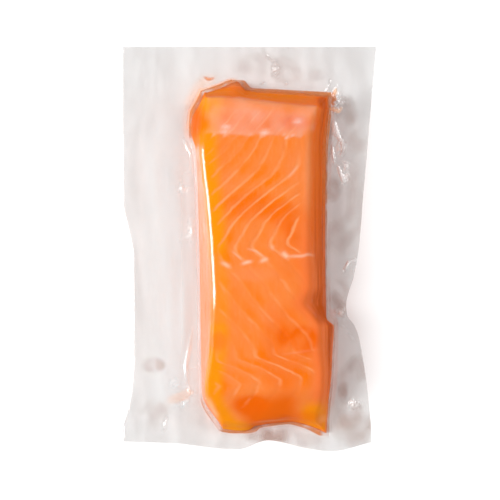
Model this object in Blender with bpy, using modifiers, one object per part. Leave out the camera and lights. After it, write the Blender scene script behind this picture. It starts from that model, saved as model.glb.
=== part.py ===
"""A portion of salmon, vacuum packed in a clear pouch and lying flat with its cut side up.

Three pieces: the skinless portion of fish, the lower web of film that it lies on, and the upper web that is
drawn down over it and meets the lower web all round. X runs across the pouch, Y along it and Z up. The
origin is the middle of the underside. All sizes are in metres.
"""

import math
from bisect import bisect_right
from dataclasses import dataclass

import bmesh
import bpy

OBJECT_NAME = "vacuum_packed_salmon_portion"

# The pouch, flat, and the film that it is made of.
POUCH_WIDTH = 0.1062
POUCH_LENGTH = 0.1696
FILM_THICKNESS = 0.0002
GAP = 0.0003

# The portion of fish: its thickness in the middle, and how its top and its edges are rounded.
FILLET_THICKNESS = 0.0212
CROWN = 0.0008
SHOULDER_RADIUS = 0.0021
UNDERCUT = 0.0010
FOOT_HEIGHT = 0.0012

# The muscle: seams across the face, each a shallow groove that fades out at the rim. They turn on lines
# that cross the face at a slight slope, one of them the lateral line.
SEAM_DEPTH = 0.0005
SEAM_FADE = 0.0040
SEAM_TURN_SLOPE = 0.10

# How many faces the pieces are made of.
FILLET_COLUMNS = 26
FILLET_ROWS = 76
WEB_COLUMNS = 7
WEB_ROWS = 32

# The film spans any hollow in the fish that is narrower than this, and touches down this far out from it.
BRIDGED_HOLLOW = 0.0050
BRIDGE_SAMPLES = 5
TOUCH_DOWN = 0.0022

# Lines that run along the pouch, each a (y, x) pair: its two long edges, then the foot and the rim of the
# fillet on each side. The foot is where its wall meets the lower web, and the rim is the edge of its top.
POUCH_LEFT = (
    (-0.0740, 0.0003 - POUCH_WIDTH / 2),
    (-0.0660, 0.0025 - POUCH_WIDTH / 2),
    (-0.0450, 0.0046 - POUCH_WIDTH / 2),
    (-0.0070, 0.0046 - POUCH_WIDTH / 2),
    (0.0180, 0.0 - POUCH_WIDTH / 2),
)
POUCH_RIGHT = (
    (-0.0740, POUCH_WIDTH / 2 - 0.0021),
    (-0.0520, POUCH_WIDTH / 2 - 0.0046),
    (-0.0361, POUCH_WIDTH / 2 - 0.0075),
    (-0.0319, POUCH_WIDTH / 2 - 0.0092),
    (-0.0277, POUCH_WIDTH / 2 - 0.0122),
    (-0.0235, POUCH_WIDTH / 2 - 0.0126),
    (-0.0109, POUCH_WIDTH / 2 - 0.0092),
    (0.0017, POUCH_WIDTH / 2 - 0.0071),
    (0.0269, POUCH_WIDTH / 2 - 0.0050),
    (POUCH_LENGTH / 2, POUCH_WIDTH / 2),
)
FOOT_LEFT = (
    (-0.0756, -0.0111),
    (-0.0596, -0.0200),
    (0.0, -0.0210),
    (0.0415, -0.0226),
    (0.0495, -0.0246),
    (0.0546, -0.0242),
    (0.0600, -0.0214),
    (0.0660, -0.0187),
)
RIM_LEFT = (
    (-0.0735, -0.0105),
    (-0.0590, -0.0171),
    (-0.0400, -0.0152),
    (-0.0200, -0.0144),
    (0.0, -0.0154),
    (0.0210, -0.0171),
    (0.0420, -0.0193),
    (0.0620, -0.0167),
)
FOOT_RIGHT = (
    (-0.0770, 0.0326),
    (-0.0660, 0.0330),
    (-0.0530, 0.0344),
    (-0.0420, 0.0349),
    (-0.0325, 0.0354),
    (-0.0290, 0.0323),
    (0.0, 0.0318),
    (0.0415, 0.0320),
    (0.0584, 0.0334),
)
RIM_RIGHT = (
    (-0.0720, 0.0280),
    (-0.0620, 0.0299),
    (-0.0520, 0.0306),
    (-0.0400, 0.0294),
    (-0.0313, 0.0292),
    (-0.0223, 0.0229),
    (-0.0150, 0.0254),
    (0.0, 0.0247),
    (0.0449, 0.0250),
    (0.0580, 0.0278),
)

# Lines that run across the pouch, each an (x, y) pair: its two short edges, then the foot and the rim of
# the fillet at each end. The lower edge of the pouch waves out, in and out again.
POUCH_BOTTOM = (
    (-0.0527, 0.0042 - POUCH_LENGTH / 2),
    (-0.0309, 0.0033 - POUCH_LENGTH / 2),
    (-0.0132, 0.0012 - POUCH_LENGTH / 2),
    (-0.0048, 0.0008 - POUCH_LENGTH / 2),
    (0.0078, 0.0046 - POUCH_LENGTH / 2),
    (0.0242, 0.0012 - POUCH_LENGTH / 2),
    (0.0342, 0.0 - POUCH_LENGTH / 2),
    (0.0510, 0.0037 - POUCH_LENGTH / 2),
)
POUCH_TOP = ((0.0, POUCH_LENGTH / 2), (POUCH_WIDTH / 2, POUCH_LENGTH / 2))
FOOT_BOTTOM = (
    (-0.0111, -0.0756),
    (-0.0040, -0.0766),
    (-0.0002, -0.0760),
    (0.0025, -0.0736),
    (0.0174, -0.0718),
    (0.0250, -0.0735),
    (0.0321, -0.0776),
)
RIM_BOTTOM = (
    (-0.0111, -0.0730),
    (0.0, -0.0728),
    (0.0174, -0.0696),
    (0.0280, -0.0722),
)
FOOT_TOP = (
    (-0.0176, 0.0658),
    (-0.0100, 0.0684),
    (-0.0052, 0.0702),
    (-0.0015, 0.0668),
    (0.0100, 0.0662),
    (0.0334, 0.0648),
)
RIM_TOP = (
    (-0.0168, 0.0623),
    (-0.0022, 0.0610),
    (0.0106, 0.0595),
    (0.0278, 0.0580),
)

# The share of its full thickness that the fillet has at each y: it thins to a slope at the lower end.
THICKNESS_ALONG = (
    (-0.0760, 0.34),
    (-0.0700, 0.54),
    (-0.0640, 0.75),
    (-0.0570, 0.91),
    (-0.0460, 0.97),
    (-0.0250, 1.0),
    (0.0350, 1.0),
    (0.0620, 0.95),
)

# One seam of the muscle, as the x that it has at each distance along the fish, and how far apart the seams
# are there. Both distances are taken where x is 0, and change with x by the slope that the seams turn on.
SEAM_PLACE = (
    (-0.0760, 0.0288),
    (-0.0634, 0.0355),
    (-0.0584, 0.0384),
    (-0.0559, 0.0384),
    (-0.0529, 0.0345),
    (-0.0500, 0.0296),
    (-0.0470, 0.0234),
    (-0.0441, 0.0183),
    (-0.0412, 0.0176),
    (-0.0349, 0.0131),
    (-0.0281, 0.0071),
    (-0.0206, 0.0011),
    (-0.0130, -0.0040),
    (-0.0055, -0.0101),
    (0.0008, -0.0134),
    (0.0055, -0.0103),
    (0.0105, -0.0072),
    (0.0164, -0.0010),
    (0.0223, 0.0069),
    (0.0281, 0.0158),
    (0.0332, 0.0204),
    (0.0382, 0.0212),
    (0.0433, 0.0208),
    (0.0500, 0.0246),
    (0.0647, 0.0288),
)
SEAM_SPACING = (
    (-0.0760, 0.0101),
    (-0.0584, 0.0088),
    (-0.0500, 0.0081),
    (-0.0281, 0.0078),
    (-0.0206, 0.0083),
    (-0.0055, 0.0084),
    (0.0008, 0.0073),
    (0.0105, 0.0068),
    (0.0164, 0.0073),
    (0.0281, 0.0088),
    (0.0332, 0.0084),
    (0.0433, 0.0059),
    (0.0500, 0.0055),
)


@dataclass(frozen=True)
class Side:
    """One side of the pack: the pouch's edge, and the foot and rim of the fillet's wall."""

    edge: tuple
    foot: tuple
    rim: tuple
    outward: int


@dataclass(frozen=True)
class Ring:
    """One line of a surface round the pack.

    It lies wall of the way from the fillet's foot to its rim, and then out from there, or in the margin at a
    share of the way from where the film touches down to the pouch's edge. Its height is a share of the
    fillet's thickness, less a drop.
    """

    margin: float = 0.0
    wall: float = 0.0
    out: float = 0.0
    share: float = 0.0
    drop: float = 0.0


@dataclass(frozen=True)
class Swell:
    """A place where the margin of the pouch lifts off the surface that it lies on."""

    x: float
    y: float
    reach_x: float
    reach_y: float
    lift: float


LEFT = Side(POUCH_LEFT, FOOT_LEFT, RIM_LEFT, -1)
RIGHT = Side(POUCH_RIGHT, FOOT_RIGHT, RIM_RIGHT, 1)
BOTTOM = Side(POUCH_BOTTOM, FOOT_BOTTOM, RIM_BOTTOM, -1)
TOP = Side(POUCH_TOP, FOOT_TOP, RIM_TOP, 1)

HALF_TURN_SHARE = 1 - math.cos(math.pi / 4)
WALL_RINGS = (
    Ring(wall=0.0, out=-UNDERCUT),
    Ring(wall=0.0, drop=-FOOT_HEIGHT),
    Ring(wall=0.45, share=0.5),
    Ring(wall=0.88, share=1.0, drop=SHOULDER_RADIUS),
)
FACE_RINGS = (
    Ring(wall=1.0, out=-HALF_TURN_SHARE * SHOULDER_RADIUS, share=1.0, drop=HALF_TURN_SHARE * SHOULDER_RADIUS),
    Ring(wall=1.0, out=-SHOULDER_RADIUS, share=1.0),
)
WEB_RINGS = (
    Ring(margin=1.0),
    Ring(margin=0.74),
    Ring(margin=0.48),
    Ring(margin=0.22),
    Ring(out=TOUCH_DOWN),
    Ring(out=0.0011, drop=-FOOT_HEIGHT),
    Ring(wall=0.45, out=0.0010, share=0.5),
    Ring(wall=0.88, out=0.0009, share=1.0, drop=SHOULDER_RADIUS),
    Ring(wall=1.0, out=0.0002, share=1.0, drop=HALF_TURN_SHARE * SHOULDER_RADIUS),
    Ring(wall=1.0, out=-0.8 * SHOULDER_RADIUS, share=1.0),
)

# The margins lie flat round the fillet and lift most where the pouch is drawn in.
MARGIN_SWELLS = (
    Swell(0.0420, -0.0250, 0.0090, 0.0080, 0.0020),
    Swell(0.0500, -0.0560, 0.0120, 0.0130, 0.0016),
    Swell(0.0500, 0.0380, 0.0110, 0.0160, 0.0022),
    Swell(0.0560, 0.0780, 0.0140, 0.0110, 0.0014),
    Swell(-0.0500, -0.0240, 0.0110, 0.0240, 0.0030),
    Swell(-0.0560, 0.0420, 0.0120, 0.0160, 0.0012),
    Swell(-0.0460, -0.0780, 0.0120, 0.0080, 0.0020),
    Swell(0.0090, -0.0840, 0.0090, 0.0070, 0.0016),
    Swell(-0.0200, 0.0860, 0.0180, 0.0090, 0.0010),
)


def line_slopes(stations):
    """The slope of a smooth line at each of its stations, with none where it turns back."""
    steps = [(b[1] - a[1]) / (b[0] - a[0]) for a, b in zip(stations, stations[1:])]
    inner = [2 * a * b / (a + b) if a * b > 0 else 0.0 for a, b in zip(steps, steps[1:])]
    return [steps[0], *inner, steps[-1]]


def on_line(stations, at):
    """The value at a place on the smooth line through the stations, level past either end."""
    places = [place for place, _ in stations]
    if at <= places[0]:
        return stations[0][1]
    if at >= places[-1]:
        return stations[-1][1]
    i = bisect_right(places, at) - 1
    slopes = line_slopes(stations)
    span = places[i + 1] - places[i]
    t = (at - places[i]) / span
    rising = t * t * (3 - 2 * t)
    start = stations[i][1] * (1 - rising) + stations[i + 1][1] * rising
    return start + span * t * (1 - t) * (slopes[i] * (1 - t) - slopes[i + 1] * t)


def bridged(stations, at, outward):
    """The outermost value of a line within half a bridged hollow of a place."""
    steps = [BRIDGED_HOLLOW * (i / (BRIDGE_SAMPLES - 1) - 0.5) for i in range(BRIDGE_SAMPLES)]
    return outward * max(outward * on_line(stations, at + step) for step in steps)


def ring_value(side, ring, at, spans_hollows):
    """Where a ring crosses one side of the pack, at a place along that side."""
    if spans_hollows:
        foot = bridged(side.foot, at, side.outward)
        rim = bridged(side.rim, at, side.outward)
    else:
        foot = on_line(side.foot, at)
        rim = on_line(side.rim, at)
    if ring.margin > 0:
        start = foot + side.outward * TOUCH_DOWN
        return start + ring.margin * (on_line(side.edge, at) - start)
    return foot + ring.wall * (rim - foot) + side.outward * ring.out


def thickness(x, y):
    """The fillet's thickness at a place, or outside its rim the thickness at the rim."""
    y = max(on_line(RIM_BOTTOM, x), min(on_line(RIM_TOP, x), y))
    left = on_line(RIM_LEFT, y)
    right = on_line(RIM_RIGHT, y)
    across = (2 * x - left - right) / (right - left)
    return FILLET_THICKNESS * on_line(THICKNESS_ALONG, y) - CROWN * min(1.0, across * across)


def seam_depth(x, y):
    """How deep the cut face is below its smooth form: a groove along each seam of the muscle."""
    along = y - SEAM_TURN_SLOPE * x
    turns = (x - on_line(SEAM_PLACE, along)) / on_line(SEAM_SPACING, along)
    from_rim = min(
        x - on_line(RIM_LEFT, y),
        on_line(RIM_RIGHT, y) - x,
        y - on_line(RIM_BOTTOM, x),
        on_line(RIM_TOP, x) - y,
    )
    fade = max(0.0, min(1.0, from_rim / SEAM_FADE))
    return SEAM_DEPTH * fade * (1 + math.cos(math.tau * turns)) / 2


def margin_lift(x, y, margin):
    """How far the margin stands off the surface at a place, where margin is its share of the way out."""
    lift = 0.0
    for swell in MARGIN_SWELLS:
        away = ((x - swell.x) / swell.reach_x) ** 2 + ((y - swell.y) / swell.reach_y) ** 2
        lift += swell.lift * math.exp(-away)
    return lift * margin * margin


def ring_height(x, y, rings):
    """The height of a surface over its floor where two of its rings cross."""
    return min(ring.share * thickness(x, y) - ring.drop for ring in rings)


class PlanGrid:
    """The lines of a surface in plan: rings in from each side, and evenly spread lines between them."""

    def __init__(self, rings, columns, rows, spans_hollows):
        self.rings = rings
        self.columns = columns
        self.rows = rows
        self.spans_hollows = spans_hollows
        self.last_column = 2 * len(rings) + columns - 2
        self.last_row = 2 * len(rings) + rows - 2
        across = range(self.last_column + 1)
        along = range(self.last_row + 1)
        self.column_places = [self.crossing(LEFT, RIGHT, i, columns, 0.0) for i in across]
        self.row_places = [self.crossing(BOTTOM, TOP, j, rows, 0.0) for j in along]

    def ring_at(self, index, between):
        """The ring that a line belongs to, which is the innermost for the lines between."""
        inner = len(self.rings) - 1
        return self.rings[min(index, 2 * inner + between - index, inner)]

    def crossing(self, low_side, high_side, index, between, at):
        """Where a line lies between two opposite sides, at a place along them."""
        ring = self.ring_at(index, between)
        low = ring_value(low_side, ring, at, self.spans_hollows)
        high = ring_value(high_side, ring, at, self.spans_hollows)
        share = (index - len(self.rings) + 1) / between
        return low + (high - low) * max(0.0, min(1.0, share))

    def point(self, i, j):
        """The plan position of the crossing of a column and a row."""
        x = self.crossing(LEFT, RIGHT, i, self.columns, self.row_places[j])
        y = self.crossing(BOTTOM, TOP, j, self.rows, self.column_places[i])
        return x, y

    def crossed_rings(self, i, j):
        """The two rings that cross at a point."""
        return self.ring_at(i, self.columns), self.ring_at(j, self.rows)

    def flat_grid(self):
        """A grid mesh with a vertex for each crossing, and the column and row of each vertex."""
        mesh = bmesh.new()
        bmesh.ops.create_grid(mesh, x_segments=self.last_column, y_segments=self.last_row, size=0.5)
        column = mesh.verts.layers.int.new("column")
        row = mesh.verts.layers.int.new("row")
        for vert in mesh.verts:
            vert[column] = round((vert.co.x + 0.5) * self.last_column)
            vert[row] = round((vert.co.y + 0.5) * self.last_row)
        return mesh, column, row

    def split_faces(self, mesh, column, row):
        """Cut each face in two: level where it lies inside the rings, and else in from its own corner."""
        inner = len(self.rings) - 1
        leaning = {"FIXED": [], "ALTERNATE": []}
        for face in mesh.faces:
            columns = [vert[column] for vert in face.verts]
            rows = [vert[row] for vert in face.verts]
            from_side = min(min(columns), self.last_column - max(columns))
            from_end = min(min(rows), self.last_row - max(rows))
            if min(from_side, from_end) >= inner:
                heights = [vert.co.z for vert in face.verts]
                is_fixed = abs(heights[0] - heights[2]) < abs(heights[1] - heights[3])
            else:
                is_left = min(columns) + max(columns) < self.last_column
                is_low = min(rows) + max(rows) < self.last_row
                is_fixed = is_left == is_low
            leaning["FIXED" if is_fixed else "ALTERNATE"].append(face)
        for method, faces in leaning.items():
            bmesh.ops.triangulate(mesh, faces=faces, quad_method=method)


def fillet_mesh():
    """The portion: a cut face with its seams, walls that spread to the foot, and a flat underside."""
    grid = PlanGrid(FACE_RINGS, FILLET_COLUMNS, FILLET_ROWS, spans_hollows=False)
    floor = FILM_THICKNESS + GAP
    mesh, column, row = grid.flat_grid()
    for vert in mesh.verts:
        x, y = grid.point(vert[column], vert[row])
        height = ring_height(x, y, grid.crossed_rings(vert[column], vert[row]))
        vert.co = (x, y, floor + height - seam_depth(x, y))
    grid.split_faces(mesh, column, row)
    rim = [edge for edge in mesh.edges if edge.is_boundary]
    side_of_column = {0: LEFT, grid.last_column: RIGHT}
    side_of_row = {0: BOTTOM, grid.last_row: TOP}
    for ring in reversed(WALL_RINGS):
        made = bmesh.ops.extrude_edge_only(mesh, edges=rim)["geom"]
        rim = [item for item in made if isinstance(item, bmesh.types.BMEdge)]
        for vert in (item for item in made if isinstance(item, bmesh.types.BMVert)):
            x, y = grid.point(vert[column], vert[row])
            side, end = side_of_column.get(vert[column]), side_of_row.get(vert[row])
            along = ring_value(end, ring, 0.0, False) if end else grid.row_places[vert[row]]
            across = ring_value(side, ring, 0.0, False) if side else grid.column_places[vert[column]]
            x = ring_value(side, ring, along, False) if side else x
            y = ring_value(end, ring, across, False) if end else y
            vert.co = (x, y, floor + ring_height(x, y, (ring,)))
    bmesh.ops.contextual_create(mesh, geom=rim)
    bmesh.ops.recalc_face_normals(mesh, faces=mesh.faces)
    return mesh


def web_mesh(over_fillet):
    """One web of film as an open surface, its lower side: the upper one goes over the fillet."""
    grid = PlanGrid(WEB_RINGS, WEB_COLUMNS, WEB_ROWS, spans_hollows=True)
    floor = FILM_THICKNESS + GAP
    mesh, column, row = grid.flat_grid()
    for vert in mesh.verts:
        x, y = grid.point(vert[column], vert[row])
        rings = grid.crossed_rings(vert[column], vert[row])
        height = margin_lift(x, y, max(ring.margin for ring in rings))
        if over_fillet:
            height += floor + max(0.0, ring_height(x, y, rings))
            if min(ring.share for ring in rings) > 0:
                height += GAP
        vert.co = (x, y, height)
    grid.split_faces(mesh, column, row)
    if not over_fillet:
        flat = [face for face in mesh.faces if all(vert.co.z == 0.0 for vert in face.verts)]
        inside = {edge for face in flat for edge in face.edges if all(f in flat for f in edge.link_faces)}
        bmesh.ops.dissolve_edges(mesh, edges=list(inside), use_verts=True)
    return mesh


def finish(name, color, roughness, alpha):
    """A material of one colour, see-through where alpha is under one."""
    material = bpy.data.materials.new(name)
    material.use_nodes = True
    shader = material.node_tree.nodes["Principled BSDF"]
    shader.inputs["Base Color"].default_value = (*color, 1.0)
    shader.inputs["Metallic"].default_value = 0.0
    shader.inputs["Roughness"].default_value = roughness
    shader.inputs["Alpha"].default_value = alpha
    material.diffuse_color = (*color, alpha)
    return material


def add_piece(name, surface, material, collection):
    """Make an object of a mesh and put it in a collection."""
    mesh = bpy.data.meshes.new(name)
    surface.to_mesh(mesh)
    surface.free()
    mesh.materials.append(material)
    mesh.shade_smooth()
    mesh.set_sharp_from_angle(angle=math.radians(40))
    piece = bpy.data.objects.new(name, mesh)
    collection.objects.link(piece)
    return piece


def add_film(name, over_fillet, material, collection):
    """One web of film, given its thickness upwards from its lower side."""
    piece = add_piece(name, web_mesh(over_fillet), material, collection)
    wall = piece.modifiers.new("film thickness", "SOLIDIFY")
    wall.thickness = FILM_THICKNESS
    wall.offset = 1.0
    return piece


def main():
    """Clear the scene and build the pack."""
    for obj in list(bpy.data.objects):
        bpy.data.objects.remove(obj, do_unlink=True)
    collection = bpy.data.collections.new(OBJECT_NAME)
    bpy.context.scene.collection.children.link(collection)
    flesh = finish("salmon_flesh", (0.90, 0.25, 0.06), 0.35, 1.0)
    film = finish("clear_film", (0.92, 0.91, 0.90), 0.15, 0.3)
    add_piece("salmon_fillet", fillet_mesh(), flesh, collection)
    add_film("lower_film", False, film, collection)
    add_film("upper_film", True, film, collection)


main()
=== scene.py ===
"""The looks of a portion of salmon, vacuum packed between two webs of clear film.

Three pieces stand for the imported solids: the fish with its muscle seams, and the lower and upper web of film,
creased and drawn in where air has been taken out. X runs across the pouch, Y along it and Z up, in metres,
with the origin under the middle of the pack.
"""

import logging
import math
from collections.abc import Sequence
from dataclasses import dataclass
from enum import Enum

import bmesh
import bpy
import numpy as np
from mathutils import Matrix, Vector, noise
from mathutils.bvhtree import BVHTree

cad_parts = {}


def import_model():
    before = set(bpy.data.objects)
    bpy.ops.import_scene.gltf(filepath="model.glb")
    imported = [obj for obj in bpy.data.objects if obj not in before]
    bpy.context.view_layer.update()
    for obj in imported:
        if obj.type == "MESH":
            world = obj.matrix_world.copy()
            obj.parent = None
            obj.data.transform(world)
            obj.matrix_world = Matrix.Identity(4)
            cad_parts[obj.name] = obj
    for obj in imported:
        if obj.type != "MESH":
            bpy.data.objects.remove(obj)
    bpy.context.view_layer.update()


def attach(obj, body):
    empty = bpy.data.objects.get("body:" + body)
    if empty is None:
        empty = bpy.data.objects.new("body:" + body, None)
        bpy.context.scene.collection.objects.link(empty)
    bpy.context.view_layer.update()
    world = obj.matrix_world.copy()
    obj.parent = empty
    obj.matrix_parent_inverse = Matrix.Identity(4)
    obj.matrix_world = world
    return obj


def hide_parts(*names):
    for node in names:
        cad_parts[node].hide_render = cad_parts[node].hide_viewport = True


PORTION_BODY = "root"
POUCH_WIDTH = 0.1062
POUCH_LENGTH = 0.1696

log = logging.getLogger("salmon pack")

Triple = tuple[float, float, float]
Colour = Triple
Place = tuple[float, float]
Field = np.ndarray
Socket = bpy.types.NodeSocket
Mesh = bmesh.types.BMesh


class Line:
    """A smooth line through (place, value) stations, level past either end and with no overshoot."""

    def __init__(self, *stations: Place) -> None:
        """Take the stations, in order of place."""
        self.known, self.values = np.array(stations).T

    def at(self, places: Field) -> Field:
        """Read the line.

        Args:
            places: where to read it, in metres.

        Returns:
            The line's value at each place.
        """
        known, values = self.known, self.values
        steps = np.diff(values) / np.diff(known)
        before, after = steps[:-1], steps[1:]
        same_way = before * after > 0
        total = np.where(same_way, before + after, 1.0)
        inner = np.where(same_way, 2 * before * after / total, 0.0)
        slopes = np.concatenate((steps[:1], inner, steps[-1:]))
        held = np.clip(places, known[0], known[-1])
        index = np.clip(np.searchsorted(known, held, side="right") - 1, 0, len(known) - 2)
        span = known[index + 1] - known[index]
        share = (held - known[index]) / span
        rising = share * share * (3 - 2 * share)
        start = values[index] * (1 - rising) + values[index + 1] * rising
        lean = slopes[index] * (1 - share) - slopes[index + 1] * share
        return start + span * share * (1 - share) * lean

    def bridged(self, places: Field, outward: int, hollow: float) -> Field:
        """Read the line as film does that spans its hollows.

        Args:
            places: where to read it, in metres.
            outward: 1 or -1, the way that is out of the fish.
            hollow: the width of hollow that is spanned, or 0.

        Returns:
            The outermost value within half a hollow of each place.
        """
        shifts = np.linspace(-0.5, 0.5, 5) * hollow if hollow else (0.0,)
        return outward * np.max([outward * self.at(places + shift) for shift in shifts], axis=0)


def drawn_in(outward: int, half: float, *insets: Place) -> Line:
    """One edge of the pouch, half its size from the middle and drawn in by so much at each place."""
    return Line(*((place, outward * (half - inset)) for place, inset in insets))


@dataclass(frozen=True)
class Side:
    """One side of the pack: the pouch's edge, and the foot and rim of the wall of the fish."""

    outward: int
    edge: Line
    foot: Line
    rim: Line


LEFT = Side(
    outward=-1,
    edge=drawn_in(
        -1, POUCH_WIDTH / 2, (-0.0740, 0.0003), (-0.0660, 0.0025), (-0.0450, 0.0046), (-0.0070, 0.0046), (0.0180, 0.0)
    ),
    foot=Line(
        (-0.0756, -0.0111), (-0.0596, -0.0200), (0.0, -0.0210), (0.0415, -0.0226),
        (0.0495, -0.0246), (0.0546, -0.0242), (0.0600, -0.0214), (0.0660, -0.0187),
    ),
    rim=Line(
        (-0.0770, -0.0096), (-0.0735, -0.0112), (-0.0590, -0.0182), (-0.0400, -0.0163), (-0.0200, -0.0155),
        (0.0, -0.0165), (0.0210, -0.0182), (0.0420, -0.0204), (0.0620, -0.0178),
    ),
)  # fmt: skip
RIGHT = Side(
    outward=1,
    edge=drawn_in(
        1, POUCH_WIDTH / 2, (-0.0740, 0.0021), (-0.0520, 0.0046), (-0.0361, 0.0075), (-0.0319, 0.0092),
        (-0.0277, 0.0122), (-0.0235, 0.0126), (-0.0109, 0.0092), (0.0017, 0.0071), (0.0269, 0.0050),
        (POUCH_LENGTH / 2, 0.0),
    ),
    foot=Line(
        (-0.0770, 0.0326), (-0.0660, 0.0330), (-0.0530, 0.0344), (-0.0420, 0.0349), (-0.0325, 0.0354),
        (-0.0290, 0.0323), (0.0, 0.0318), (0.0415, 0.0320), (0.0584, 0.0334),
    ),
    rim=Line(
        (-0.0720, 0.0280), (-0.0620, 0.0299), (-0.0520, 0.0306), (-0.0400, 0.0294), (-0.0313, 0.0292),
        (-0.0223, 0.0229), (-0.0150, 0.0254), (0.0, 0.0247), (0.0449, 0.0250), (0.0580, 0.0278),
    ),
)  # fmt: skip
BOTTOM = Side(
    outward=-1,
    edge=drawn_in(
        -1, POUCH_LENGTH / 2, (-0.0527, 0.0042), (-0.0309, 0.0033), (-0.0132, 0.0012), (-0.0048, 0.0008),
        (0.0078, 0.0046), (0.0242, 0.0012), (0.0342, 0.0), (0.0510, 0.0037),
    ),
    foot=Line(
        (-0.0111, -0.0756), (-0.0040, -0.0766), (-0.0002, -0.0760), (0.0025, -0.0742),
        (0.0174, -0.0726), (0.0250, -0.0742), (0.0321, -0.0776),
    ),
    rim=Line((-0.0111, -0.0730), (0.0, -0.0728), (0.0174, -0.0696), (0.0280, -0.0722)),
)  # fmt: skip
TOP = Side(
    outward=1,
    edge=drawn_in(1, POUCH_LENGTH / 2, (0.0, 0.0), (POUCH_WIDTH / 2, 0.0)),
    foot=Line(
        (-0.0176, 0.0658), (-0.0100, 0.0684), (-0.0052, 0.0702),
        (-0.0015, 0.0668), (0.0100, 0.0662), (0.0334, 0.0648),
    ),
    rim=Line((-0.0168, 0.0623), (-0.0022, 0.0610), (0.0106, 0.0595), (0.0278, 0.0580)),
)  # fmt: skip


def soft(x: Field, y: Field, grain_x: float, grain_y: float, seed: float) -> Field:
    """Smooth uneven relief over a plan, from about -1 to 1, with lumps of so many metres across and along."""
    flat = [noise.noise((a, b, seed)) for a, b in zip((x / grain_x).ravel(), (y / grain_y).ravel())]
    return np.array(flat).reshape(x.shape)


def stepped(value: Field, low: float, high: float) -> Field:
    """A smooth step from 0 at low to 1 at high."""
    share = np.clip((value - low) / (high - low), 0.0, 1.0)
    return share * share * (3 - 2 * share)


def window(value: Field, low: float, low_full: float, high_full: float, high: float) -> Field:
    """1 from low_full to high_full, with soft ends that come to 0 at low and high."""
    return stepped(value, low, low_full) * stepped(value, high, high_full)


def held(value: Field) -> Field:
    """A mask held between 0 and 1."""
    return np.clip(value, 0.0, 1.0)


def at_lower_end(y: Field) -> Field:
    """1 along the lower end of the fish, and 0 above it."""
    return stepped(y, -0.0590, -0.0630)


def at_lower_corners(x: Field) -> Field:
    """1 beside either corner of the lower end, and 0 between them."""
    return np.maximum(stepped(x, -0.0105, -0.0125), stepped(x, 0.0290, 0.0310))


class Stroke:
    """A narrow mark or crease along a line of points, tapered to nothing at its ends."""

    def __init__(self, width: float, strength: float, *points: Place, steepness: float = 0.55) -> None:
        """Lay the stroke out.

        Args:
            width: how far it reaches to either side.
            strength: how strongly its middle shows.
            points: the places that it runs through.
            steepness: where it is a crease, its height as a share of its width.
        """
        self.width, self.strength, self.points = width, strength, points
        self.height = steepness * width

    def near(self, x: Field, y: Field) -> Field:
        """How near each place is to the stroke.

        Args:
            x: places across.
            y: places along.

        Returns:
            1 on the middle of the stroke, and 0 well off it.
        """
        legs = list(zip(self.points, self.points[1:]))
        whole = sum(math.dist(a, b) for a, b in legs)
        best = np.full(x.shape, np.inf)
        share = np.zeros(x.shape)
        gone = 0.0
        for (ax, ay), (bx, by) in legs:
            length = math.dist((ax, ay), (bx, by))
            t = held(((x - ax) * (bx - ax) + (y - ay) * (by - ay)) / length**2)
            away = np.hypot(x - ax - t * (bx - ax), y - ay - t * (by - ay))
            nearer = away < best
            best = np.where(nearer, away, best)
            share = np.where(nearer, (gone + t * length) / whole, share)
            gone += length
        return np.exp(-((best / self.width) ** 2)) * np.sin(np.pi * np.clip(share, 0.02, 0.98)) ** 0.6

    def share(self, x: Field, y: Field) -> Field:
        """How strongly the stroke shows at each place."""
        return self.strength * self.near(x, y)


@dataclass(frozen=True)
class Patch:
    """A soft-edged patch of another shade, or a swell of the film, around a place."""

    x: float
    y: float
    reach_x: float
    reach_y: float
    strength: float

    def share(self, x: Field, y: Field) -> Field:
        """How strongly a flat patch shows at each place."""
        across, along = (x - self.x) / self.reach_x, (y - self.y) / self.reach_y
        return self.strength * np.exp(-((across**2 + along**2) ** 2))

    def dome(self, x: Field, y: Field) -> Field:
        """The height of a rounded swell at each place, as a share of its top."""
        return np.exp(-(((x - self.x) / self.reach_x) ** 2) - ((y - self.y) / self.reach_y) ** 2)


@dataclass(frozen=True)
class Crinkle(Patch):
    """A patch of film crushed into small facets, its strength their height."""

    grain: float = 0.0014
    # white: how white the crushed film shows, which partly paints glints of light.
    white: float = 1.0


def laid(marks: Sequence[Stroke | Patch], x: Field, y: Field) -> Field:
    """How strongly any of a set of marks shows at each place."""
    return sum(mark.share(x, y) for mark in marks)


@dataclass(frozen=True)
class Ring:
    """One line round the pack.

    Attributes:
        margin: its share of the way from where the film touches down to the pouch's edge.
        wall: its share of the way from the foot of the fish to its rim.
        out: how far it lies out from there.
        share: its height as a share of the thickness of the fish.
        drop: how far it lies under that height.
    """

    margin: float = 0.0
    wall: float = 0.0
    out: float = 0.0
    share: float = 0.0
    drop: float = 0.0


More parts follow.
